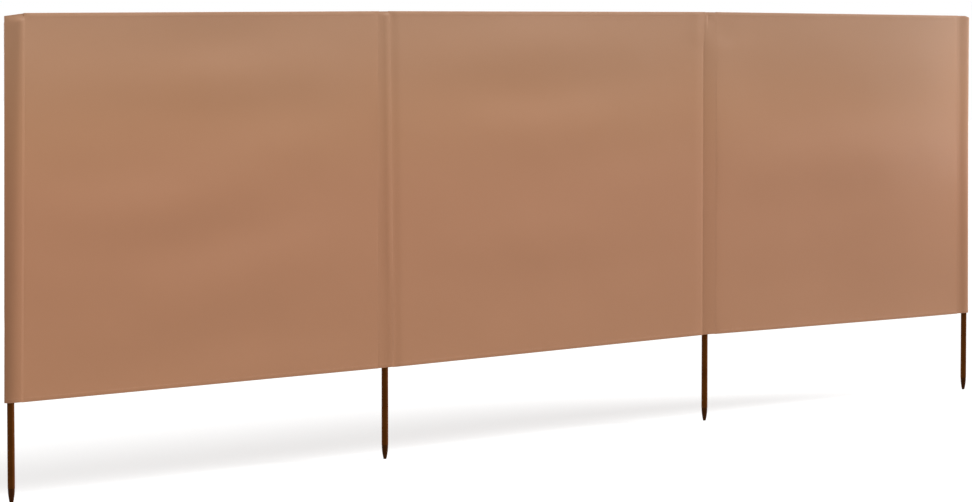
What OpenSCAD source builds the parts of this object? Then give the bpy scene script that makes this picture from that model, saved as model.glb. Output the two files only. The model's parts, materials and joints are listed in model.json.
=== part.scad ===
// Beach windbreak: three bays of cloth on four poles that push into sand or turf.
// The bays are sewn to pockets of cloth, and every pole stands in a pocket that is sewn shut at
// the top and open at the bottom. X runs along the windbreak from the first pole, -Y is its
// front and Z is up. The origin is the blunt end of the first pole's tip.

/* [Bays] */
// Distance between pole centres in the first and the last bay
outer_bay = 1310; // [600:5:2000]
// Distance between pole centres in the middle bay
middle_bay = 1357; // [600:5:2000]

/* [Cloth] */
// Height of the cloth
cloth_h = 950; // [600:10:1500]
// Thickness of one layer of cloth
cloth_t = 1; // [0.6:0.1:1.6]
// Height of the hem folded back along the top and the bottom edge
hem_h = 12; // [10:1:40]

/* [Poles] */
// Outside diameter of the pole tube
pole_d = 18; // [16:1:24]
// Wall thickness of the pole tube
pole_wall = 1; // [0.6:0.1:2]
// Height of the bare pole and its tip below the cloth
stake_h = 250; // [150:5:400]
// Room between the top of a pole and the sewn-shut end of its pocket
pole_headroom = 24; // [5:1:60]
// Length of the pointed tip below the tube
tip_len = 38; // [25:1:70]
// Diameter of the blunt end of the tip
tip_end_d = 8; // [4:0.5:10]
// How far the tip stands back from the tube where they meet
tip_step = 0.5; // [0.2:0.1:1]
// Length of the tip's plug inside the tube
plug_len = 30; // [15:1:60]

/* [Pockets] */
// Gap between a pole and the cloth that it bears on
pole_gap = 0.3; // [0.2:0.1:0.8]
// How far the back of the bays lies in front of the poles' centres
front_set = 6; // [0:0.5:7]
// How much more than a snug fit the loop round an end pole has, in its radius
end_slack = 2.7; // [0:0.1:8]
// Length over which a pocket tapers from its loop to its seam
taper_l = 18; // [8:1:40]
// Width of the seam along which a pocket's two layers are sewn together
seam_w = 8; // [6:1:12]

/* [Hidden] */
$fn = 64;
cloth_colour = "#ac7f63";
pole_colour = "#3c2509";

// Pole centres along X, first to last
pole_x = [0, outer_bay, outer_bay + middle_bay, 2 * outer_bay + middle_bay];

// Levels
overall_h = stake_h + cloth_h;
pole_top = overall_h - hem_h - pole_headroom;

// The bays' front face is flush with the front of the seams, and the hems lie on their back
pole_r = pole_d / 2;
back_y = -front_set;
front_y = back_y - cloth_t;
hem_back_y = back_y + cloth_t;

// Sleeve round an inner pole
inner_r = pole_r + pole_gap + cloth_t;
// Loop round an end pole: the pull of the bay keeps its outer side against the pole
end_r = inner_r + end_slack;
// Share of a loop's radius at which its layers of cloth leave it
loop_bite = 0.985;

// Half of the pointed tip's profile
tip_top_r = pole_r - tip_step;
tip_end_r = tip_end_d / 2;
tip_chamfer = 0.8;
plug_clearance = 0.05;
plug_r = pole_r - pole_wall - plug_clearance;
tip_steps = 10;

// Radius of the arc that leaves the tip's shoulder upright and reaches its blunt end
tip_fall = tip_top_r - tip_end_r;
tip_rise = tip_len - tip_chamfer;
tip_arc_r = (tip_rise * tip_rise + tip_fall * tip_fall) / (2 * tip_fall);
function tip_r(z) = tip_top_r - tip_arc_r + sqrt(tip_arc_r ^ 2 - (tip_len - z) ^ 2);

// Direction, seen from a loop's centre, in which a layer of cloth leaves the loop for the seam's
// edge at the given y: turn is -1 for the front layer and 1 for the back one
function leave_angle(r, y, turn) =
  let (edge = [r + taper_l, y])
  atan2(edge[1], edge[0]) + turn * acos(r / norm(edge));

// Directions in which the front and the back layer leave a loop of radius r
function leave_angles(r) = [leave_angle(r, front_y, -1), leave_angle(r, hem_back_y, 1)];

// Point from which a layer of cloth leaves a loop of radius r, a little inside the loop
function leave_point(r, angle) = loop_bite * r * [cos(angle), sin(angle)];

// Outline of a pocket between its loop of radius r and its seam's far edge, on the +X side
function seam_outline(r, angles) =
  let (near = r + taper_l, far = near + seam_w)
  [
    [0, 0], leave_point(r, angles[0]), [near, front_y], [far, front_y],
    [far, hem_back_y], [near, hem_back_y], leave_point(r, angles[1])
  ];

// Outline of the room between a loop of inside radius r and the place where its layers meet
function taper_outline(r, angles) =
  let (middle = (angles[0] + angles[1]) / 2, half = (angles[1] - angles[0]) / 2)
  [
    [0, 0], leave_point(r, angles[0]),
    r / cos(half) * [cos(middle), sin(middle)], leave_point(r, angles[1])
  ];

// Children on the +X side of a pole, or mirrored to its -X side
module on_side(side) {
  if (side < 0) mirror([1, 0, 0]) children();
  else children();
}

// Plan of a pocket's cloth on the given sides of its pole, with or without the room for the pole
module pocket_cloth(r, sides, room) {
  angles = leave_angles(r);
  difference() {
    union() {
      circle(r);
      for (side = sides) on_side(side) polygon(seam_outline(r, angles));
    }
    if (room) {
      circle(r - cloth_t);
      for (side = sides) on_side(side) polygon(taper_outline(r - cloth_t, angles));
    }
  }
}

// Pocket with its seams and its shut top, sewn on the given sides of the pole
module pocket(r, sides) {
  color(cloth_colour) {
    translate([0, 0, stake_h]) linear_extrude(cloth_h - cloth_t) pocket_cloth(r, sides, true);
    translate([0, 0, overall_h - cloth_t]) linear_extrude(cloth_t) pocket_cloth(r, sides, false);
  }
}

// Pocket round the first or the last pole, sewn to the bay on one side
module end_pocket(index, side) {
  translate([pole_x[index] + side * end_slack, 0, 0]) pocket(end_r, [side]);
}

// Pocket round an inner pole, sewn to the bays on both sides
module inner_pocket(index) {
  translate([pole_x[index], 0, 0]) pocket(inner_r, [-1, 1]);
}

// Distance from a pole's centre to the far edge of its pocket's seam, where a bay begins
function bay_start(index) =
  (index == 0 || index == len(pole_x) - 1) ?
    end_slack + end_r + taper_l + seam_w :
    inner_r + taper_l + seam_w;

// Strip of cloth along a whole bay, from seam to seam
module bay_strip(bay, y, z, height) {
  from = pole_x[bay] + bay_start(bay);
  to = pole_x[bay + 1] - bay_start(bay + 1);
  color(cloth_colour) translate([from, y, z]) cube([to - from, cloth_t, height]);
}

// One bay of cloth
module panel(bay) { bay_strip(bay, front_y, stake_h, cloth_h); }

// Hems folded back onto a bay along its top and its bottom edge
module top_hem(bay) { bay_strip(bay, back_y, overall_h - hem_h, hem_h); }

module bottom_hem(bay) { bay_strip(bay, back_y, stake_h, hem_h); }

// Steel tube from its tip's shoulder to just below the shut end of the pocket
module pole(index) {
  color(pole_colour) translate([pole_x[index], 0, tip_len]) difference() {
    cylinder(r = pole_r, h = pole_top - tip_len);
    translate([0, 0, -1]) cylinder(r = pole_r - pole_wall, h = pole_top - tip_len + 2);
  }
}

// Pointed tip whose plug fills the lower end of the tube
module tip(index) {
  profile = concat(
    [[0, 0], [tip_end_r - tip_chamfer, 0]],
    [for (step = [0 : tip_steps])
      let (z = tip_chamfer + tip_rise * step / tip_steps) [tip_r(z), z]],
    [[plug_r, tip_len], [plug_r, tip_len + plug_len], [0, tip_len + plug_len]]
  );
  color(pole_colour) translate([pole_x[index], 0, 0]) rotate_extrude() polygon(profile);
}

panel(0);  // panel_1
panel(1);  // panel_2
panel(2);  // panel_3
top_hem(0);  // top_hem_1
top_hem(1);  // top_hem_2
top_hem(2);  // top_hem_3
bottom_hem(0);  // bottom_hem_1
bottom_hem(1);  // bottom_hem_2
bottom_hem(2);  // bottom_hem_3
end_pocket(0, 1);  // pocket_1
inner_pocket(1);  // pocket_2
inner_pocket(2);  // pocket_3
end_pocket(3, -1);  // pocket_4
pole(0);  // pole_1
pole(1);  // pole_2
pole(2);  // pole_3
pole(3);  // pole_4
tip(0);  // tip_1
tip(1);  // tip_2
tip(2);  // tip_3
tip(3);  // tip_4
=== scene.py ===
import json
import math

import bpy
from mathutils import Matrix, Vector, noise


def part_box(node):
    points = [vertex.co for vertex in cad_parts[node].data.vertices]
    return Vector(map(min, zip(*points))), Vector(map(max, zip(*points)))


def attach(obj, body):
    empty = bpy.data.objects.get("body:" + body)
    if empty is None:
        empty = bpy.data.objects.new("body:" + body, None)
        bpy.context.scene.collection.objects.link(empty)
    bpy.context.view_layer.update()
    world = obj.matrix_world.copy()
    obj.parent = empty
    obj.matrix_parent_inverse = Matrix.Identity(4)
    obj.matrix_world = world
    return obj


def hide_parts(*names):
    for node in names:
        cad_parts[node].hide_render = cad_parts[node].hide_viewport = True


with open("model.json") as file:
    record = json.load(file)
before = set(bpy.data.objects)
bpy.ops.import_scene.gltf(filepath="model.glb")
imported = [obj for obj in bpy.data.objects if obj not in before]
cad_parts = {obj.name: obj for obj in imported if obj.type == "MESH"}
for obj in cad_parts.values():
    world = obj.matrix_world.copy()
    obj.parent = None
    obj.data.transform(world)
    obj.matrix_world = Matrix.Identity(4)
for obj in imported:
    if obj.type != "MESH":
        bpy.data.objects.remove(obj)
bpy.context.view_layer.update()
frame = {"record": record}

MM = 0.001

# Places taken from the frame: +X runs along the windbreak, -Y is the front and +Z is up
POLE_X = [mount["pos_m"][0] for mount in frame["record"]["mounts"]]
CLOTH_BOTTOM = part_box("panel_1")[0][2]
CLOTH_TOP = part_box("panel_1")[1][2]
CLOTH_HEIGHT = CLOTH_TOP - CLOTH_BOTTOM
HEM = CLOTH_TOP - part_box("top_hem_1")[0][2]
POLE_RADIUS = (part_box("pole_1")[1][0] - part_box("pole_1")[0][0]) / 2
INNER_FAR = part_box("panel_2")[0][0] - POLE_X[1]

# Cloth and thread
CLOTH_THICK = 0.55 * MM
LAYER_GAP = 0.42 * MM       # from the middle of a folded cloth to the middle of either layer
FRONT_LAP = 0.05 * MM       # how far a lapped seam stands in front of the bay's face
PRESSED = 0.05 * MM         # how far a pressed seam's edge sinks behind that face
BACK_LAP = 1.0 * MM         # how far its back layer lies behind the middle of the bay's cloth
BAY_TUCK = 5 * MM           # length of a bay's edge that is sewn in between the pocket's layers
SEAM_WIDTH = 8 * MM
STITCH_LINE = 10 * MM       # hem stitching below the top edge and above the bottom edge
STITCH_PITCH = 4 * MM
STITCH_LENGTH = 3.1 * MM
STITCH_THICK = 0.45 * MM
STITCH_END = 0.55           # share of its thickness that a stitch has at its ends
STITCH_SUNK = 0.04 * MM     # how far the middle of a stitch lies below the cloth's face

# How much higher or lower than the level line the cloth hangs at each pole
TOP_HANG = [-4.4 * MM, 3.9 * MM, 5.1 * MM, -3.6 * MM]
BOTTOM_HANG = [-1.9 * MM, -1.9 * MM, 6.0 * MM, -3.2 * MM]


def ease(t):
    t = min(max(t, 0.0), 1.0)
    return t * t * (3 - 2 * t)


def between(low, high, t):
    return low + (high - low) * t


def mm_between(low, high, t):
    return between(low, high, min(max(t, 0.0), 1.0)) * MM


def along_poles(values, x):
    """Value at x on the straight lines between the poles."""
    for left in range(len(POLE_X) - 2, -1, -1):
        if x >= POLE_X[left] or left == 0:
            t = (x - POLE_X[left]) / (POLE_X[left + 1] - POLE_X[left])
            return between(values[left], values[left + 1], min(max(t, 0.0), 1.0))


def top_edge(x):
    return CLOTH_TOP + along_poles(TOP_HANG, x)


def bottom_edge(x):
    return CLOTH_BOTTOM + along_poles(BOTTOM_HANG, x)


def seam_edge(number, side, v):
    """Far edge of a pocket's seam, from its pole, v of the way up; side is -1 or 1."""
    if number == 1:
        return mm_between(31.5, 40.5, v)
    if number == 4:
        return -mm_between(51.5, 60, v)
    if number == 2 and side > 0:
        return mm_between(24, 9, 1 - (1 - min(max(v, 0.0), 1.0)) ** 0.6)
    if number == 3 and side < 0:
        return -21 * MM
    return side * INNER_FAR


def seam_rest(bay, side, v):
    """How far back the pole draws a bay's cloth at its left or right seam, v of the way up."""
    if bay == 1:
        return mm_between(-10.7, -17.4, v) if side < 0 else mm_between(-8.0, -10.0, v)
    if bay == 2:
        return -11.2 * MM if side < 0 else -8.6 * MM
    return -13.5 * MM if side < 0 else mm_between(-8.2, -6.4, v / 0.65)


FLAT_FROM, FLAT_OVER = 0.88, 0.055      # as shares of the cloth's height


def flat_top(v):
    """1 beside the poles' upper ends, where cloth runs flat over a pocket, 0 further down."""
    return ease((v - FLAT_FROM) / FLAT_OVER)


# How far the two seams at the third pole come together beside the end of the pole
SEAM_SHIFT = {(2, 1): -2.3 * MM, (3, -1): 1.8 * MM}
SHIFT_REACH = 110 * MM      # how far into a bay its cloth follows them


def seam_shift(bay, side, v):
    """How far a bay's left or right seam moves back beside the end of its pole."""
    return SEAM_SHIFT.get((bay, side), 0.0) * flat_top(v)


def seam_y(bay, side, v):
    """How far back the middle of a bay's cloth lies at its left or right seam, v of the way up."""
    return seam_rest(bay, side, v) + seam_shift(bay, side, v)


def bay_edges(bay, v):
    """Left and right edges of a bay's showing cloth, v of the way up."""
    return POLE_X[bay - 1] + seam_edge(bay, 1, v), POLE_X[bay] + seam_edge(bay + 1, -1, v)


# Slack of each bay as waves: depth in mm, turns along the bay, turns up it, and phase
SLACK_WAVES = {
    1: [
        (1.35, -0.5, 3.6, 0.4), (0.4, -0.2, 6.0, 5.6), (0.36, 0.4, 5.2, 1.6),
        (1.0, 0.1, 1.6, 0.7), (0.85, -1.7, 3.8, 4.0), (1.3, -1.3, 2.4, 0.1),
    ],
    2: [
        (1.05, -0.2, 3.6, 3.8), (0.5, -0.3, 4.4, 5.8), (0.32, -0.1, 5.6, 6.1),
        (0.32, 1.0, 3.4, 1.2), (0.65, -1.2, 3.4, 0.9), (0.7, -0.1, 1.6, 1.2),
    ],
    3: [(1.9, 0.1, 1.8, 5.3), (1.2, 0.0, 3.2, 0.0), (0.8, 1.4, 0.6, 3.4), (0.45, -0.7, 4.6, 3.6)],
}
UNEVEN_SLACK = 0.65 * MM    # depth of the uneven slack on top of the waves
MIDDLE_PULL = 1.7 * MM      # how far the seams of the middle bay lie behind its face
PULL_LEFT, PULL_RIGHT = 34 * MM, 40 * MM    # how far into the bay that reaches
MIDDLE_LIP = 0.65 * MM      # how far it stands forward again close to its right seam
MIDDLE_LIP_RISE = 11 * MM   # over what length from the seam
LAST_BELLY = 2.4 * MM       # how far the last bay comes forward of its first seam
BELLY_FULL, BELLY_TURNS = 0.3, 0.6          # where it has come forward, and where it turns back
LAST_LIP = 1.2 * MM         # how much of that comes at once beside the seam
LAST_LIP_RISE = 25 * MM     # over about what length from the seam


def bay_face(bay, x, v):
    """How far back the middle of a bay's cloth lies at x, v of the way up."""
    left, right = bay_edges(bay, v)
    from_left, from_right = x - left, right - x
    beside_pole = 1 - flat_top(v)
    u = min(max(from_left / (right - left), 0.0), 1.0)
    start, end = seam_rest(bay, -1, v), seam_rest(bay, 1, v)
    y = between(start, end, u)
    y += seam_shift(bay, -1, v) * ease(1 - from_left / SHIFT_REACH)
    y += seam_shift(bay, 1, v) * ease(1 - from_right / SHIFT_REACH)
    held = math.sin(math.pi * u) ** 0.6
    for depth, along, up, phase in SLACK_WAVES[bay]:
        y += held * depth * MM * math.sin(2 * math.pi * (along * u + up * v) + phase)
    y += held * UNEVEN_SLACK * noise.noise(Vector((x * 5.2, v * 8.4, bay * 3.7)))
    if bay == 2:
        # The pockets' seams pull the middle bay back a little at both sides
        clear_right = ease(from_right / PULL_RIGHT)
        y -= MIDDLE_PULL * ease(from_left / PULL_LEFT) * clear_right
        y -= MIDDLE_LIP * ease(from_right / MIDDLE_LIP_RISE) * (1 - clear_right) * beside_pole
    if bay == 3:
        # The last bay comes forward beside its first pocket and turns back over its last stretch
        started = ease(u / BELLY_FULL)
        forward = started * (1 - max(0.0, (u - BELLY_TURNS) / (1 - BELLY_TURNS)) ** 2)
        y += (start - LAST_BELLY - between(start, end, u)) * forward
        lip = 1 - math.exp(min(-from_left, 0.0) / LAST_LIP_RISE)
        y -= LAST_LIP * lip * (1 - started) * beside_pole
    return y


HEM_SWELL = 0.55 * MM       # how far forward the folded hem stands at its fullest
HEM_CREST = 8 * MM          # how far in from the edge it is fullest
HEM_DRAWN = 0.25 * MM       # how much its stitching draws it in
HEM_REST = STITCH_LINE + 1 * MM     # how far in from the edge it is fully drawn in
HEM_FADE = 10 * MM          # over what length the rest dies away
HEM_HELD = 20 * MM          # over what length beside a seam it is held flat
PUCKER_DEPTH = 0.3 * MM
PUCKER_REACH = 9 * MM       # how far above and below the stitching the gathers go
PUCKER_DENSITY = 55         # gathers to the metre, roughly
PUCKER_SEED = {"top": 8.7, "bottom": 3.1}


def hem_roll(depth):
    """How far forward the folded hem stands, depth in from the edge."""
    if depth < HEM_CREST:
        return HEM_SWELL * math.sin(math.pi / 2 * depth / HEM_CREST)
    drawn_in = HEM_DRAWN * ease((depth - HEM_CREST) / (HEM_REST - HEM_CREST))
    beyond = max(depth - HEM_REST, 0.0)
    return (HEM_SWELL - drawn_in) * math.exp(-beyond / HEM_FADE)


def hem_pucker(x, depth, end):
    """Small gathers of the cloth beside the hem stitching at its top or bottom end."""
    reach = math.exp(-((depth - STITCH_LINE) / PUCKER_REACH) ** 2)
    gather = noise.noise(Vector((x * PUCKER_DENSITY, PUCKER_SEED[end], 0.0)))
    return PUCKER_DEPTH * reach * gather


def hem_free(x, left, right):
    """How free the hem is to roll and gather at x: 0 at a bay's seams, 1 a little way in."""
    return ease((x - left) / HEM_HELD) * ease((right - x) / HEM_HELD)


# Tools


def deselect():
    if bpy.context.object and bpy.context.object.mode != "OBJECT":
        bpy.ops.object.mode_set(mode="OBJECT")
    bpy.ops.object.select_all(action="DESELECT")


def pick(*pieces):
    """Select the pieces, with the first one active."""
    deselect()
    for piece in pieces:
        piece.select_set(True)
    bpy.context.view_layer.objects.active = pieces[0]


def join(pieces, name):
    if len(pieces) > 1:
        pick(*pieces)
        bpy.ops.object.join()
    piece = pieces[0]
    piece.name = name
    piece.data.name = name
    return piece


def smooth(piece, degrees):
    pick(piece)
    bpy.ops.object.shade_smooth_by_angle(angle=math.radians(degrees))


def apply_modifier(piece, kind, **settings):
    pick(piece)
    modifier = piece.modifiers.new(kind.title(), kind)
    for key, value in settings.items():
        setattr(modifier, key, value)
    bpy.ops.object.modifier_apply(modifier=modifier.name)


def finish_cloth(piece):
    apply_modifier(piece, "SOLIDIFY", thickness=CLOTH_THICK, offset=0.0, use_even_offset=False)
    smooth(piece, degrees=50)


def cut_sheet(name, places, heights, shape):
    """Cloth with columns at places across the cut and rows at heights, formed by shape."""
    deselect()
    across, up = len(places) - 1, len(heights) - 1
    bpy.ops.mesh.primitive_grid_add(x_subdivisions=across, y_subdivisions=up, size=1)
    piece = bpy.context.object
    piece.name = name
    piece.data.name = name
    grid = [
        (round((vertex.co.x + 0.5) * across), round((vertex.co.y + 0.5) * up))
        for vertex in piece.data.vertices
    ]
    uv = piece.data.uv_layers.active.data
    for loop in piece.data.loops:
        column, row = grid[loop.vertex_index]
        uv[loop.index].uv = (places[column], heights[row])
    for vertex, (column, row) in zip(piece.data.vertices, grid):
        vertex.co = shape(column, row)
    piece.data.update()
    return piece


# Materials


def new_material(name, base, roughness):
    material = bpy.data.materials.new(name)
    material.use_nodes = True
    tree = material.node_tree
    shader = tree.nodes["Principled BSDF"]
    shader.inputs["Base Color"].default_value = (*base, 1)
    shader.inputs["Roughness"].default_value = roughness
    return material, tree, shader


def node(tree, kind, **settings):
    made = tree.nodes.new(kind)
    for key, value in settings.items():
        setattr(made, key, value)
    return made


def math_node(tree, operation, *values):
    made = node(tree, "ShaderNodeMath", operation=operation)
    for socket, value in zip(made.inputs, values):
        if isinstance(value, (int, float)):
            socket.default_value = value
        else:
            tree.links.new(value, socket)
    return made.outputs[0]


def noise_node(tree, coords, scale, detail=2.0, roughness=0.5):
    made = node(tree, "ShaderNodeTexNoise")
    made.inputs["Scale"].default_value = scale
    made.inputs["Detail"].default_value = detail
    made.inputs["Roughness"].default_value = roughness
    tree.links.new(coords, made.inputs["Vector"])
    return made.outputs["Fac"]


def ramp_node(tree, fac, stops):
    made = node(tree, "ShaderNodeValToRGB")
    elements = made.color_ramp.elements
    while len(elements) < len(stops):
        elements.new(1.0)
    for element, (place, colour) in zip(elements, stops):
        element.position = place
        element.color = (*colour, 1)
    tree.links.new(fac, made.inputs["Fac"])
    return made.outputs["Color"]


def bump_node(tree, height, distance, strength, below=None):
    made = node(tree, "ShaderNodeBump")
    made.inputs["Distance"].default_value = distance
    made.inputs["Strength"].default_value = strength
    tree.links.new(height, made.inputs["Height"])
    if below is not None:
        tree.links.new(below, made.inputs["Normal"])
    return made.outputs["Normal"]


def range_node(tree, value, low, high, to_low, to_high):
    made = node(tree, "ShaderNodeMapRange")
    made.inputs["From Min"].default_value = low
    made.inputs["From Max"].default_value = high
    made.inputs["To Min"].default_value = to_low
    made.inputs["To Max"].default_value = to_high
    tree.links.new(value, made.inputs["Value"])
    return made.outputs["Result"]


# Tones of the cloth from its bottom edge to its top edge, with painted light: paler and greyer
# towards the top edge as if lit from above, darker and more orange towards the bottom
CLOTH_TONES_AND_PAINTED_LIGHT = [
    (0.00, (0.387, 0.183, 0.0935)),
    (0.30, (0.393, 0.183, 0.0945)),
    (0.50, (0.398, 0.1855, 0.096)),
    (0.72, (0.405, 0.198, 0.1)),
    (0.93, (0.398, 0.209, 0.116)),
    (1.00, (0.396, 0.212, 0.121)),
]
THREAD_PITCH = 0.8 * MM


def woven_cloth():
    material, tree, shader = new_material("taupe_weave", CLOTH_TONES_AND_PAINTED_LIGHT[2][1], 0.42)
    shader.inputs["Specular IOR Level"].default_value = 0.2
    shader.inputs["Sheen Weight"].default_value = 0.05
    shader.inputs["Sheen Roughness"].default_value = 0.5
    shader.inputs["Sheen Tint"].default_value = (0.95, 0.85, 0.78, 1)
    coords = node(tree, "ShaderNodeUVMap", uv_map="UVMap").outputs["UV"]
    threads = []
    for direction in ("X", "Y"):
        wave = node(tree, "ShaderNodeTexWave", wave_type="BANDS", bands_direction=direction)
        wave.inputs["Scale"].default_value = math.pi / 10 / (2 * THREAD_PITCH)
        wave.inputs["Distortion"].default_value = 0.6
        wave.inputs["Detail"].default_value = 1
        wave.inputs["Detail Scale"].default_value = 0.2
        tree.links.new(coords, wave.inputs["Vector"])
        threads.append(math_node(tree, "SUBTRACT", wave.outputs["Fac"], 0.5))
    weave = math_node(tree, "MULTIPLY_ADD", math_node(tree, "MULTIPLY", *threads), 2.0, 0.5)
    split = node(tree, "ShaderNodeSeparateXYZ")
    tree.links.new(coords, split.inputs[0])
    # The tone rises with height up the cloth: painted light, paler towards the top edge and darker
    # towards the bottom
    tone = range_node(tree, split.outputs["Y"], 0.0, CLOTH_HEIGHT, -0.22, 0.78)
    patches = noise_node(tree, coords, 2.2, 3.0)
    slubs = noise_node(tree, coords, 240.0, 2.0)
    # The weave's share lightens the thread crossings and darkens the gaps between them: painted
    # shade at the scale of the threads
    for texture, share in ((patches, 0.14), (slubs, 0.12), (weave, 0.18)):
        tone = math_node(tree, "MULTIPLY_ADD", texture, share, tone)
    tree.links.new(ramp_node(tree, tone, CLOTH_TONES_AND_PAINTED_LIGHT), shader.inputs["Base Color"])
    creases = noise_node(tree, coords, 9.0, 4.0, 0.55)
    normal = bump_node(tree, creases, 1.6 * MM, 0.25)
    normal = bump_node(tree, slubs, 0.12 * MM, 0.3, normal)
    normal = bump_node(tree, weave, 0.18 * MM, 0.45, normal)
    tree.links.new(normal, shader.inputs["Normal"])
    return material


def sewing_thread():
    material, tree, shader = new_material("taupe_thread", (0.45, 0.25, 0.155), 0.7)
    shader.inputs["Specular IOR Level"].default_value = 0.25
    coords = node(tree, "ShaderNodeTexCoord").outputs["Object"]
    strands = noise_node(tree, coords, 900.0, 1.0)
    tones = ramp_node(tree, strands, [(0.3, (0.40, 0.215, 0.13)), (0.7, (0.49, 0.28, 0.175))])
    tree.links.new(tones, shader.inputs["Base Color"])
    tree.links.new(bump_node(tree, strands, 0.1 * MM, 0.5), shader.inputs["Normal"])
    return material


def powder_coat():
    material, tree, shader = new_material("brown_powder_coat", (0.107, 0.029, 0.003), 0.5)
    shader.inputs["Specular IOR Level"].default_value = 0.07
    shader.inputs["Specular Tint"].default_value = (1.0, 0.72, 0.4, 1)
    coords = node(tree, "ShaderNodeTexCoord").outputs["Object"]
    patches = noise_node(tree, coords, 18.0, 3.0)
    tones = ramp_node(tree, patches, [(0.3, (0.093, 0.024, 0.0025)), (0.7, (0.123, 0.035, 0.004))])
    tree.links.new(tones, shader.inputs["Base Color"])
    gloss = range_node(tree, noise_node(tree, coords, 60.0), 0, 1, 0.42, 0.60)
    tree.links.new(gloss, shader.inputs["Roughness"])
    peel = noise_node(tree, coords, 650.0, 1.0)
    tree.links.new(bump_node(tree, peel, 0.08 * MM, 0.35), shader.inputs["Normal"])
    return material


def tip_plastic():
    material, tree, shader = new_material("brown_tip_plastic", (0.058, 0.0165, 0.003), 0.55)
    shader.inputs["Specular IOR Level"].default_value = 0.06
    shader.inputs["Specular Tint"].default_value = (1.0, 0.78, 0.5, 1)
    coords = node(tree, "ShaderNodeTexCoord").outputs["Object"]
    scuffs = noise_node(tree, coords, 120.0, 4.0, 0.6)
    stops = [(0.35, (0.046, 0.0125, 0.002)), (0.75, (0.074, 0.0225, 0.005))]
    tree.links.new(ramp_node(tree, scuffs, stops), shader.inputs["Base Color"])
    tree.links.new(range_node(tree, scuffs, 0, 1, 0.45, 0.66), shader.inputs["Roughness"])
    tree.links.new(bump_node(tree, scuffs, 0.1 * MM, 0.3), shader.inputs["Normal"])
    return material


WEAVE = woven_cloth()
THREAD = sewing_thread()
COAT = powder_coat()
TIP = tip_plastic()


def dress(piece, material):
    piece.data.materials.clear()
    piece.data.materials.append(material)
    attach(piece, "root")


# Bays

FOLD_STEPS = 5
HEM_ROWS = 5
# Rows in from the top and the bottom edge, and columns in from the sides, in mm
EDGE_LEVELS = [0.0, 1.2, 2.5, 4, 5.5, 7, 8.2, 9.2, 10, 10.8, 11.8, 13.3, 15.5, 19, 25, 33]
EDGE_REACH = EDGE_LEVELS[-1] * MM
FACE_ROWS = 84
SIDE_PLACES = [
    0, 2, 3.5, 5, 6, 7.5, 9, 11, 13.5, 16.5, 20,
    24, 29, 35, 42, 50, 60, 72, 86, 102, 120,
]
MIDDLE_COLUMNS = 100
TUCK_OVER = 3 * MM          # over what length a bay's edge slips in between the pocket's layers
TUCK_PRESSED = 0.3          # share of the gap that is left between its own layers there
TUCK_BEHIND = 0.25 * MM     # how far back it lies there


def bay_rows():
    """Rows of the cut cloth up a bay: end, part, place in the part, and height up the cut."""
    half = []
    fold = math.pi * LAYER_GAP
    for k in range(HEM_ROWS):
        depth = HEM * (HEM_ROWS - k) / HEM_ROWS
        half.append(("back", depth, -depth - fold))
    for k in range(FOLD_STEPS):
        turn = (k + 0.5) / FOLD_STEPS
        half.append(("fold", math.pi * (1 - turn), -fold * (1 - turn)))
    for depth in EDGE_LEVELS:
        half.append(("edge", depth * MM, depth * MM))
    rows = [("bottom", *row) for row in half]
    for k in range(1, FACE_ROWS + 1):
        share = k / (FACE_ROWS + 1)
        rows.append(("", "face", share, between(EDGE_REACH, CLOTH_HEIGHT - EDGE_REACH, share)))
    rows += [("top", part, place, CLOTH_HEIGHT - height) for part, place, height in reversed(half)]
    return rows


def bay_columns(left, right):
    """Places of a bay's columns from its left to its right edge, closer together at the seams."""
    side = [place * MM for place in SIDE_PLACES]
    middle = [
        between(left + side[-1], right - side[-1], k / MIDDLE_COLUMNS)
        for k in range(1, MIDDLE_COLUMNS)
    ]
    return [left + place for place in side] + middle + [right - place for place in reversed(side)]


def make_bay(bay):
    rows = bay_rows()
    columns = [
        bay_columns(left - BAY_TUCK, right + BAY_TUCK)
        for left, right in (bay_edges(bay, row[3] / CLOTH_HEIGHT) for row in rows)
    ]

    def shape(column, row):
        end, part, place, height = rows[row]
        left, right = bay_edges(bay, height / CLOTH_HEIGHT)
        x = columns[row][column]
        low, high = bottom_edge(x), top_edge(x)
        layer = -LAYER_GAP
        form = 0.0
        if part == "face":
            z = between(low + EDGE_REACH, high - EDGE_REACH, place)
        elif part == "fold":
            out = LAYER_GAP * math.sin(place)
            z = high + out if end == "top" else low - out
            layer = -LAYER_GAP * math.cos(place)
        else:
            z = high - place if end == "top" else low + place
            pucker = hem_pucker(x, place, end)
            form = pucker - hem_roll(place)
            if part == "back":
                layer = LAYER_GAP
                form = 0.5 * pucker
        v = (z - low) / (high - low)
        free = hem_free(x, left, right)
        tucked = ease(max(left - x, x - right) / TUCK_OVER)
        layer = between(layer, TUCK_PRESSED * layer + TUCK_BEHIND, tucked)
        return (x, bay_face(bay, x, v) + layer + form * free, z)

    left, right = bay_edges(bay, 0.5)
    width = right - left + 2 * BAY_TUCK
    heights = [row[3] for row in rows]
    piece = cut_sheet(f"bay_{bay}_cloth", bay_columns(0.0, width), heights, shape)
    finish_cloth(piece)
    dress(piece, WEAVE)
    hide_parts(f"panel_{bay}", f"top_hem_{bay}", f"bottom_hem_{bay}")
    return piece, (width, heights[-1] - heights[0])


# Pockets

POCKET_SHUT = 3 * MM        # height of the flat, sewn-shut top of a pocket
POCKET_TAPER = {1: 16 * MM, 2: 10 * MM, 3: 10 * MM, 4: 10 * MM}  # height over which it closes
SHUT_GAP = 0.3 * MM         # from the middle of the shut top to the middle of either layer
POCKET_ROLL = 0.7           # how far the pockets' hems roll, as a share of the bays' hems
POCKET_UNEVEN = 0.3 * MM    # depth of the uneven slack in a pocket's layers
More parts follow.
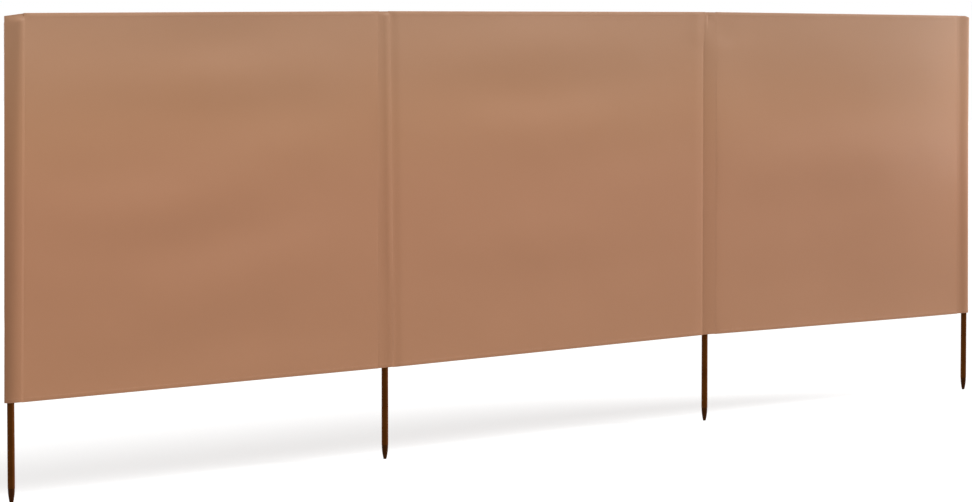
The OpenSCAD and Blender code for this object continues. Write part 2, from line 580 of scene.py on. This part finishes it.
# Rows in from the top and the bottom edge, in mm
END_LEVELS = [0, 1.2, 2.5, 4, 5.5, 7, 8.2, 9.2, 10, 10.8, 12, 13.5, 16, 20, 28, 40]
END_REACH = END_LEVELS[-1] * MM
MIDDLE_STEPS = 40
POCKET_LEVELS = (
    [level * MM for level in END_LEVELS]
    + [
        between(END_REACH, CLOTH_HEIGHT - END_REACH, k / MIDDLE_STEPS)
        for k in range(1, MIDDLE_STEPS)
    ]
    + [CLOTH_HEIGHT - level * MM for level in reversed(END_LEVELS)]
)
HALF_STEPS = 44             # steps across a layer
FRONT_STEPS = 64            # steps of the curves that the layers are measured out on
CURVE_STEPS = 30
SHORT_CURVE_STEPS = 20
WRAP = POLE_RADIUS + 0.8 * MM       # from a pole's axis to the middle of the cloth round it
# How far to the right a step along X goes in the picture at the first pole, and how far to the
# left one along Y goes
SEEN_X, SEEN_Y = 0.763, 0.646
EMPTY_FROM, EMPTY_OVER = 0.956, 0.012   # where the third pocket is empty, as shares of its height


def bezier(points, steps):
    a, b, c, d = points
    out = []
    for k in range(steps + 1):
        t = k / steps
        s = 1 - t
        out.append(tuple(
            s ** 3 * p + 3 * s * s * t * q + 3 * s * t * t * r + t ** 3 * w
            for p, q, r, w in zip(a, b, c, d)
        ))
    return out


def even_path(points, count):
    """count + 1 points at even steps along a polyline, and its length."""
    lengths = [0.0]
    for a, b in zip(points, points[1:]):
        lengths.append(lengths[-1] + math.dist(a, b))
    total = lengths[-1]
    out, at = [], 0
    for k in range(count + 1):
        want = total * k / count
        while at < len(points) - 2 and lengths[at + 1] < want:
            at += 1
        span = lengths[at + 1] - lengths[at]
        t = min((want - lengths[at]) / span, 1.0) if span else 0.0
        out.append(tuple(between(p, q, t) for p, q in zip(points[at], points[at + 1])))
    return out, total


def round_pole(start, end):
    """Cloth drawn from start round the back of a pole to end, on its left."""
    def angle(point):
        return math.atan2(point[1], point[0]) % (2 * math.pi)

    first = angle(start) - 2 * math.pi + math.acos(min(WRAP / math.hypot(*start), 1.0))
    last = angle(end) - math.acos(min(WRAP / math.hypot(*end), 1.0))
    arc = [between(first, last, k / CURVE_STEPS) for k in range(CURVE_STEPS + 1)]
    return [start] + [(WRAP * math.cos(a), WRAP * math.sin(a)) for a in arc] + [end]


def loose_plan(v):
    """Front and back of the first pole's pocket: a flat front that folds back beyond the pole."""
    far, near = seam_edge(1, 1, v), seam_edge(1, 1, v) - SEAM_WIDTH
    seam = seam_y(1, -1, v)
    turn = math.radians(between(33, 17, v))
    fold_y = mm_between(-1.2, -5.4, v)
    fold = ((mm_between(-15.4, -8.6, v) + SEEN_Y * fold_y) / SEEN_X, fold_y)
    crest = (near - 1.0 * MM, seam - LAYER_GAP - 1.0 * MM)
    reach, round_off = mm_between(10, 34, v), mm_between(20.6, 11.5, v)
    front = bezier([
        fold, (fold[0] + reach * math.cos(turn), fold[1] - reach * math.sin(turn)),
        (crest[0] - round_off, crest[1]), crest,
    ], CURVE_STEPS)
    back = round_pole((near, seam + BACK_LAP), fold)[::-1]
    return front + [(far, seam - LAYER_GAP + PRESSED)], back + [(far, seam + BACK_LAP)]


def snug_plan(v):
    """Front and back of the last pole's pocket, which is drawn round the outer side of the pole."""
    far, near = seam_edge(4, -1, v), seam_edge(4, -1, v) + SEAM_WIDTH
    seam = seam_y(3, 1, v)
    face = seam - LAYER_GAP + PRESSED
    # Towards its open bottom the pocket stands further out from the pole
    out = 6.9 * MM * max(0.65 - v, 0.0)
    nose = (WRAP + 0.6 * MM + 0.7 * out, -0.3 * out)
    crest = (-9 * MM + 0.4 * out, -11.2 * MM - 0.3 * out)
    flank = bezier([
        (near, face), (near + 14 * MM, face), (crest[0] - 12 * MM, crest[1] + 0.6 * MM), crest,
    ], SHORT_CURVE_STEPS)
    turn = bezier([
        crest, (crest[0] + 6 * MM, crest[1] - 0.3 * MM),
        (nose[0] + 0.2 * MM, -9.4 * MM - 0.9 * out), nose,
    ], SHORT_CURVE_STEPS)
    back = [(-x, y) for x, y in round_pole((-near, seam + BACK_LAP), (-nose[0], nose[1]))]
    return [(far, face)] + flank + turn[1:], [(far, seam + BACK_LAP)] + back


def slanted_front(left, right, v):
    """Front of the second pole's pocket: it swells forward and turns back at the slanting seam."""
    width = right[0] - left[0]
    swell = between(0.66, 0.5, v)
    back = 0.13 * ease((v - 0.15) / 0.2)
    forward = (1 - swell) * back - 2 * (right[1] - left[1]) / width
    points = [left]
    for k in range(FRONT_STEPS):
        t = (k + 0.5) / FRONT_STEPS
        if t < swell:
            slope = -forward * t / swell
        else:
            slope = between(-forward, back, (t - swell) / (1 - swell))
        x = left[0] + width * (k + 1) / FRONT_STEPS
        points.append((x, points[-1][1] + slope * width / FRONT_STEPS))
    return points


def lapped_front(left, right, v):
    """Front of the third pole's pocket: it comes forward from its lapped seam, steeply at first."""
    steep = 60 * MM
    whole = 1 - math.exp((left[0] - right[0]) / steep)
    above_pole = ease((v - EMPTY_FROM) / EMPTY_OVER)
    points = []
    for k in range(FRONT_STEPS + 1):
        x = between(left[0], right[0], k / FRONT_STEPS)
        gone = (1 - math.exp((left[0] - x) / steep)) / whole
        # Above the end of the pole the empty pocket sinks in
        sunk = 1.4 * MM * ease((x + 11 * MM) / (9 * MM))
        sunk *= math.exp(min(-2 * MM - x, 0.0) / (22 * MM))
        sunk *= ease((right[0] - x) / (20 * MM)) * above_pole
        points.append((x, between(left[1], right[1], gone) + sunk))
    return points


def inner_plan(number, v):
    """Front and back of an inner pole's pocket."""
    left = (seam_edge(number, -1, v), seam_y(number - 1, 1, v))
    right = (seam_edge(number, 1, v), seam_y(number, -1, v))
    step, front_layer = PRESSED, slanted_front
    if number == 3:
        step, front_layer = between(-FRONT_LAP, PRESSED, flat_top(v)), lapped_front
    front = front_layer(
        (left[0], left[1] - LAYER_GAP + step), (right[0], right[1] - LAYER_GAP + PRESSED), v,
    )
    behind = [(x, y + BACK_LAP) for x, y in (left, right)]
    inset = [min(6 * MM, max(abs(x) - 9 * MM, 0) / 2) for x, y in behind]
    drawn_from = (behind[1][0] - inset[1], behind[1][1])
    drawn_to = (behind[0][0] + inset[0], behind[0][1])
    return front, [behind[0]] + round_pole(drawn_from, drawn_to)[::-1] + [behind[1]]


def inward(path, k):
    """Direction from a layer's point k to the inside of its pocket, seen from above."""
    a, b = path[max(k - 1, 0)], path[min(k + 1, len(path) - 1)]
    length = math.dist(a, b) or 1.0
    return (a[1] - b[1]) / length, (b[0] - a[0]) / length


def pocket_plan(number, v):
    """Front and back layers of a pocket's plan from left to right, drawn together at its top."""
    plans = {1: loose_plan, 4: snug_plan}
    layers = plans[number](v) if number in plans else inner_plan(number, v)
    front, back = (even_path(layer, HALF_STEPS)[0] for layer in layers)
    full = ease(((1 - v) * CLOTH_HEIGHT - POCKET_SHUT) / POCKET_TAPER[number])
    middles = [
        ((front[k][0] + back[k][0]) / 2, (front[k][1] + back[k][1]) / 2)
        for k in (0, -1)
    ]
    gaps = [(back[k][1] - front[k][1]) / 2 for k in (0, -1)]
    shut_front, shut_back = [], []
    for k in range(HALF_STEPS + 1):
        t = k / HALF_STEPS
        # The first and the last eighth run from the seam's gap to that of the shut top
        apart = between(SHUT_GAP, gaps[0], ease(1 - t * 8))
        apart = between(apart, gaps[1], ease(t * 8 - 7))
        if number == 4:
            # The back of the last pocket comes forward onto its front
            x, y = inward(front, k)
            shut_front.append(front[k])
            shut_back.append((front[k][0] + 2 * apart * x, front[k][1] + 2 * apart * y))
        else:
            x, y = (between(a, b, t) for a, b in zip(*middles))
            shut_front.append((x, y - apart))
            shut_back.append((x, y + apart))
    return [
        [tuple(between(p, q, full) for p, q in zip(*pair)) for pair in zip(shut, layer)]
        for shut, layer in ((shut_front, front), (shut_back, back))
    ]


def corner_drop(number, px):
    """How far the top of an end pocket slopes down to its outer side."""
    if number == 1:
        return 6.6 * MM * min(max((40 * MM - px) / (56 * MM), 0.0), 1.1)
    if number == 4:
        return 4.5 * MM * ease((px + 22 * MM) / (24 * MM))
    return 0.0


def pocket_point(number, side, px, py, share, level):
    """Point of a pocket from its plan, share of the way across the layer and level up the cloth."""
    x = POLE_X[number - 1] + px
    low, high = bottom_edge(x), top_edge(x) - corner_drop(number, px)
    z = between(low, high, level / CLOTH_HEIGHT)
    depth = min(high - z, z - low)
    free = ease(share * 7) * ease((1 - share) * 7)
    if side < 0:
        py -= POCKET_ROLL * free * hem_roll(depth) * ease(depth / (1.5 * MM))
    py += POCKET_UNEVEN * free * noise.noise(Vector((x * 4.0, side * 3.0, z * 6.0)))
    return (x, py, z)


def pocket_rows(number):
    """Rows of a pocket's front and back layers, from left to right and from bottom to top."""
    rows = {-1: [], 1: []}
    for level in POCKET_LEVELS:
        for side, points in zip((-1, 1), pocket_plan(number, level / CLOTH_HEIGHT)):
            rows[side].append([
                pocket_point(number, side, px, py, k / HALF_STEPS, level)
                for k, (px, py) in enumerate(points)
            ])
    return rows


POCKET_ROWS = {number: pocket_rows(number) for number in (1, 2, 3, 4)}


def pocket_sheet(number, columns):
    """Cloth through the given columns of a pocket's layers, each a side and a place across it."""
    rows = POCKET_ROWS[number]
    middle = len(POCKET_LEVELS) // 2
    places = [0.0]
    for (side, k), (next_side, next_k) in zip(columns, columns[1:]):
        step = math.dist(rows[side][middle][k], rows[next_side][middle][next_k])
        places.append(places[-1] + step)

    def shape(column, row):
        side, k = columns[column]
        return rows[side][row][k]

    return cut_sheet(f"pocket_{number}_cloth", places, POCKET_LEVELS, shape), places[-1]


def make_pocket(number):
    front = [(-1, k) for k in range(HALF_STEPS + 1)]
    back = [(1, k) for k in range(HALF_STEPS, -1, -1)]
    cuts = {1: [back + front[1:]], 4: [front + back[1:]]}.get(number, [front, back])
    made = [pocket_sheet(number, columns) for columns in cuts]
    piece = join([layer for layer, _ in made], f"pocket_{number}_cloth")
    finish_cloth(piece)
    dress(piece, WEAVE)
    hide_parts(f"pocket_{number}")
    return piece, (sum(width for _, width in made), CLOTH_HEIGHT)


BAYS = [make_bay(bay) for bay in (1, 2, 3)]
POCKETS = [make_pocket(number) for number in (1, 2, 3, 4)]


# Stitching


def one_stitch(name, along):
    """A single stitch of thread lying along X or Z at the origin, drawn in at its ends."""
    axis = "XYZ".index(along)
    deselect()
    bpy.ops.mesh.primitive_cylinder_add(
        vertices=6, radius=STITCH_THICK / 2, depth=STITCH_LENGTH, end_fill_type="TRIFAN",
        rotation=(0, math.pi / 2, 0) if along == "X" else (0, 0, 0),
    )
    piece = bpy.context.object
    piece.name = name
    bpy.ops.object.transform_apply(location=True, rotation=True, scale=True)
    bpy.ops.object.mode_set(mode="EDIT")
    bpy.ops.mesh.select_all(action="SELECT")
    bpy.ops.mesh.bisect(
        plane_co=(0, 0, 0), plane_no=(1, 0, 0) if along == "X" else (0, 0, 1),
        use_fill=False, clear_inner=False, clear_outer=False,
    )
    bpy.ops.object.mode_set(mode="OBJECT")
    for vertex in piece.data.vertices:
        if abs(vertex.co[axis]) > STITCH_LENGTH / 4:
            for other in {0, 1, 2} - {axis}:
                vertex.co[other] *= STITCH_END
    return piece


def stitch_row(name, along, start, count, settle):
    """Stitches in a row from start; settle moves each point onto the cloth."""
    piece = one_stitch(name, along)
    step = (STITCH_PITCH, 0, 0) if along == "X" else (0, 0, STITCH_PITCH)
    apply_modifier(
        piece, "ARRAY", count=count, use_relative_offset=False,
        use_constant_offset=True, constant_offset_displace=step,
    )
    for vertex in piece.data.vertices:
        vertex.co = settle(Vector(start) + vertex.co)
    piece.data.update()
    return piece


def join_rows(name, rows):
    piece = join(rows, name)
    smooth(piece, degrees=60)
    dress(piece, THREAD)
    return piece


def hem_stitching(bay):
    rows = []
    lift = LAYER_GAP + CLOTH_THICK / 2 - STITCH_SUNK
    for end in ("top", "bottom"):
        v_line = 1 - STITCH_LINE / CLOTH_HEIGHT if end == "top" else STITCH_LINE / CLOTH_HEIGHT
        left, right = bay_edges(bay, v_line)
        count = int((right - left - 2 * MM) / STITCH_PITCH)
        start = (left + right - (count - 1) * STITCH_PITCH) / 2
        for face in (-1, 1):

            def settle(point):
                pucker = hem_pucker(point.x, STITCH_LINE, end)
                form = pucker - hem_roll(STITCH_LINE) if face < 0 else 0.5 * pucker
                y = bay_face(bay, point.x, v_line) + face * lift
                y += form * hem_free(point.x, left, right)
                if end == "top":
                    z = top_edge(point.x) - STITCH_LINE
                else:
                    z = bottom_edge(point.x) + STITCH_LINE
                return Vector((point.x, point.y + y, point.z + z))

            rows.append(stitch_row(f"stitches_{end}", "X", (start, 0, 0), count, settle))
    return join_rows(f"bay_{bay}_hem_stitching", rows)


def across_row(row, x):
    """Where a row of a pocket's layer passes x: how far back, and how high."""
    for a, b in zip(row, row[1:]):
        if min(a[0], b[0]) <= x <= max(a[0], b[0]):
            t = (x - a[0]) / (b[0] - a[0]) if b[0] != a[0] else 0.0
            return between(a[1], b[1], t), between(a[2], b[2], t)
    nearest = min(row, key=lambda point: abs(point[0] - x))
    return nearest[1], nearest[2]


def up_column(number, side, inset_from, inset):
    """Points up a pocket's layer at an inset from its seam's far edge, from bottom to top."""
    points = []
    for level, row in zip(POCKET_LEVELS, POCKET_ROWS[number][side]):
        edge = seam_edge(number, inset_from, level / CLOTH_HEIGHT)
        x = POLE_X[number - 1] + edge - inset_from * inset
        y, z = across_row(row, x)
        points.append((x, y, z))
    return points


def at_height(points, z):
    """Point of an upright line of points at height z."""
    for a, b in zip(points, points[1:]):
        if a[2] <= z <= b[2]:
            t = (z - a[2]) / (b[2] - a[2])
            return between(a[0], b[0], t), between(a[1], b[1], t)
    return points[-1][:2] if z > points[-1][2] else points[0][:2]


SEAM_SIDES = {1: (1,), 2: (-1, 1), 3: (-1, 1), 4: (-1,)}
SEAM_ROWS = (1.8 * MM, 5.6 * MM)    # rows of stitches in from a seam's far edge
ROW_END = 16 * MM                   # how far they stop short of the top and the bottom edge
ROW_INSET = 3 * MM                  # how far rows across a pocket stop short of its sides


def pocket_stitching(number):
    rows = []
    lift = CLOTH_THICK / 2 - STITCH_SUNK
    count = int((CLOTH_HEIGHT - 2 * ROW_END) / STITCH_PITCH)
    for seam in SEAM_SIDES[number]:
        for inset in SEAM_ROWS:
            for side in (-1, 1):
                line = up_column(number, side, seam, inset)

                def settle(point):
                    x, y = at_height(line, point.z)
                    return Vector((x + point.x, y + side * lift + point.y, point.z))

                start = (0, 0, CLOTH_BOTTOM + ROW_END)
                rows.append(stitch_row(f"stitches_{number}", "Z", start, count, settle))
    for level in (STITCH_LINE, CLOTH_HEIGHT - STITCH_LINE):
        nearest = min(range(len(POCKET_LEVELS)), key=lambda row: abs(POCKET_LEVELS[row] - level))
        for side in (-1, 1):
            cloth_row = POCKET_ROWS[number][side][nearest]
            left, right = cloth_row[0][0] + ROW_INSET, cloth_row[-1][0] - ROW_INSET
            across = int((right - left) / STITCH_PITCH) + 1

            def settle_across(point):
                y, z = across_row(cloth_row, point.x)
                return Vector((point.x, y + side * lift + point.y, z + point.z))

            start = ((left + right - (across - 1) * STITCH_PITCH) / 2, 0, 0)
            rows.append(stitch_row(f"stitches_{number}", "X", start, across, settle_across))
    return join_rows(f"pocket_{number}_stitching", rows)


HEM_STITCHING = [hem_stitching(bay) for bay in (1, 2, 3)]
POCKET_STITCHING = [pocket_stitching(number) for number in (1, 2, 3, 4)]

# Poles and tips

for number in (1, 2, 3, 4):
    for name, material in ((f"pole_{number}", COAT), (f"tip_{number}", TIP)):
        piece = bpy.data.objects[name]
        piece.data.materials.clear()
        piece.data.materials.append(material)


# Floor, light and camera


def seen_by_camera(tree):
    """1 where the camera, a reflection or a view through looks, 0 where light is gathered."""
    path = node(tree, "ShaderNodeLightPath")
    seen = math_node(tree, "MAXIMUM", path.outputs["Is Camera Ray"], path.outputs["Is Glossy Ray"])
    return math_node(tree, "MAXIMUM", seen, path.outputs["Is Transmission Ray"])


FLOOR_TONE = 0.45
FLOOR_GLOW = 0.66           # what brings the lit floor to white where it is seen
AMBIENT = 0.35              # strength of the white surroundings as a light


def make_floor():
    deselect()
    bpy.ops.mesh.primitive_plane_add(size=60, location=(2, 10, 0))
    floor = bpy.context.object
    floor.name = "studio_floor"
    bpy.ops.object.transform_apply(location=True, rotation=False, scale=False)
    material = bpy.data.materials.new("pale_floor")
    material.use_nodes = True
    tree = material.node_tree
    tree.nodes.remove(tree.nodes["Principled BSDF"])
    lit = node(tree, "ShaderNodeBsdfDiffuse")
    lit.inputs["Color"].default_value = (FLOOR_TONE, FLOOR_TONE, FLOOR_TONE, 1)
    glow = node(tree, "ShaderNodeEmission")
    glow.inputs["Color"].default_value = (1, 1, 1, 1)
    strength = math_node(tree, "MULTIPLY", seen_by_camera(tree), FLOOR_GLOW)
    tree.links.new(strength, glow.inputs["Strength"])
    both = node(tree, "ShaderNodeAddShader")
    tree.links.new(lit.outputs[0], both.inputs[0])
    tree.links.new(glow.outputs[0], both.inputs[1])
    tree.links.new(both.outputs[0], tree.nodes["Material Output"].inputs["Surface"])
    floor.data.materials.append(material)


make_floor()

world = bpy.data.worlds.new("studio")
bpy.context.scene.world = world
world.use_nodes = True
sky = world.node_tree
background = sky.nodes["Background"]
background.inputs["Color"].default_value = (1, 1, 1, 1)
strength = range_node(sky, seen_by_camera(sky), 0, 1, AMBIENT, 1)
sky.links.new(strength, background.inputs["Strength"])


def add_light(kind, name, place, towards):
    deselect()
    bpy.ops.object.light_add(type=kind, location=place)
    lamp = bpy.context.object
    lamp.name = name
    lamp.rotation_euler = Vector(towards).to_track_quat("-Z", "Y").to_euler()
    return lamp.data


def area_light(name, place, target, size, power):
    light = add_light("AREA", name, place, Vector(target) - Vector(place))
    light.shape = "RECTANGLE"
    light.size, light.size_y = size
    light.energy = power


key = add_light("SUN", "key_right", (6, -6, 6), (-0.76, 0.40, -0.51))
key.energy = 3.5
key.angle = math.radians(24)
area_light("overhead_strip", (1.3, -1.5, 2.9), (1.3, 0, 0.9), (5.6, 0.8), 19)
area_light("end_strip", (4.32, -0.25, 1.03), (3.95, 0, 1.03), (0.14, 0.72), 0.95)
area_light("left_fill", (-1.2, -0.3, 1.75), (0, 0, 1.15), (0.5, 0.5), 5.2)
area_light("back_fill", (2.0, 4.5, 0.65), (2.0, 0, 0.65), (5.0, 1.0), 55)

IMAGE_WIDTH = 972
FOCAL_PIXELS = 3797.6
SENSOR = 36
CAMERA_PLACE = (-6.0044, -7.0903, 1.1661)
LOOKS_DOWN = 3.3988         # degrees below level
LOOKS_RIGHT = 47.423        # degrees from +Y towards +X
camera_data = bpy.data.cameras.new("camera")
camera = bpy.data.objects.new("camera", camera_data)
bpy.context.collection.objects.link(camera)
camera_data.sensor_fit = "HORIZONTAL"
camera_data.sensor_width = SENSOR
camera_data.lens = FOCAL_PIXELS / IMAGE_WIDTH * SENSOR
camera_data.clip_end = 200
camera.location = CAMERA_PLACE
camera.rotation_euler = (math.radians(90 - LOOKS_DOWN), 0, math.radians(-LOOKS_RIGHT))
bpy.context.scene.camera = camera

bpy.context.scene.view_settings.view_transform = "Standard"
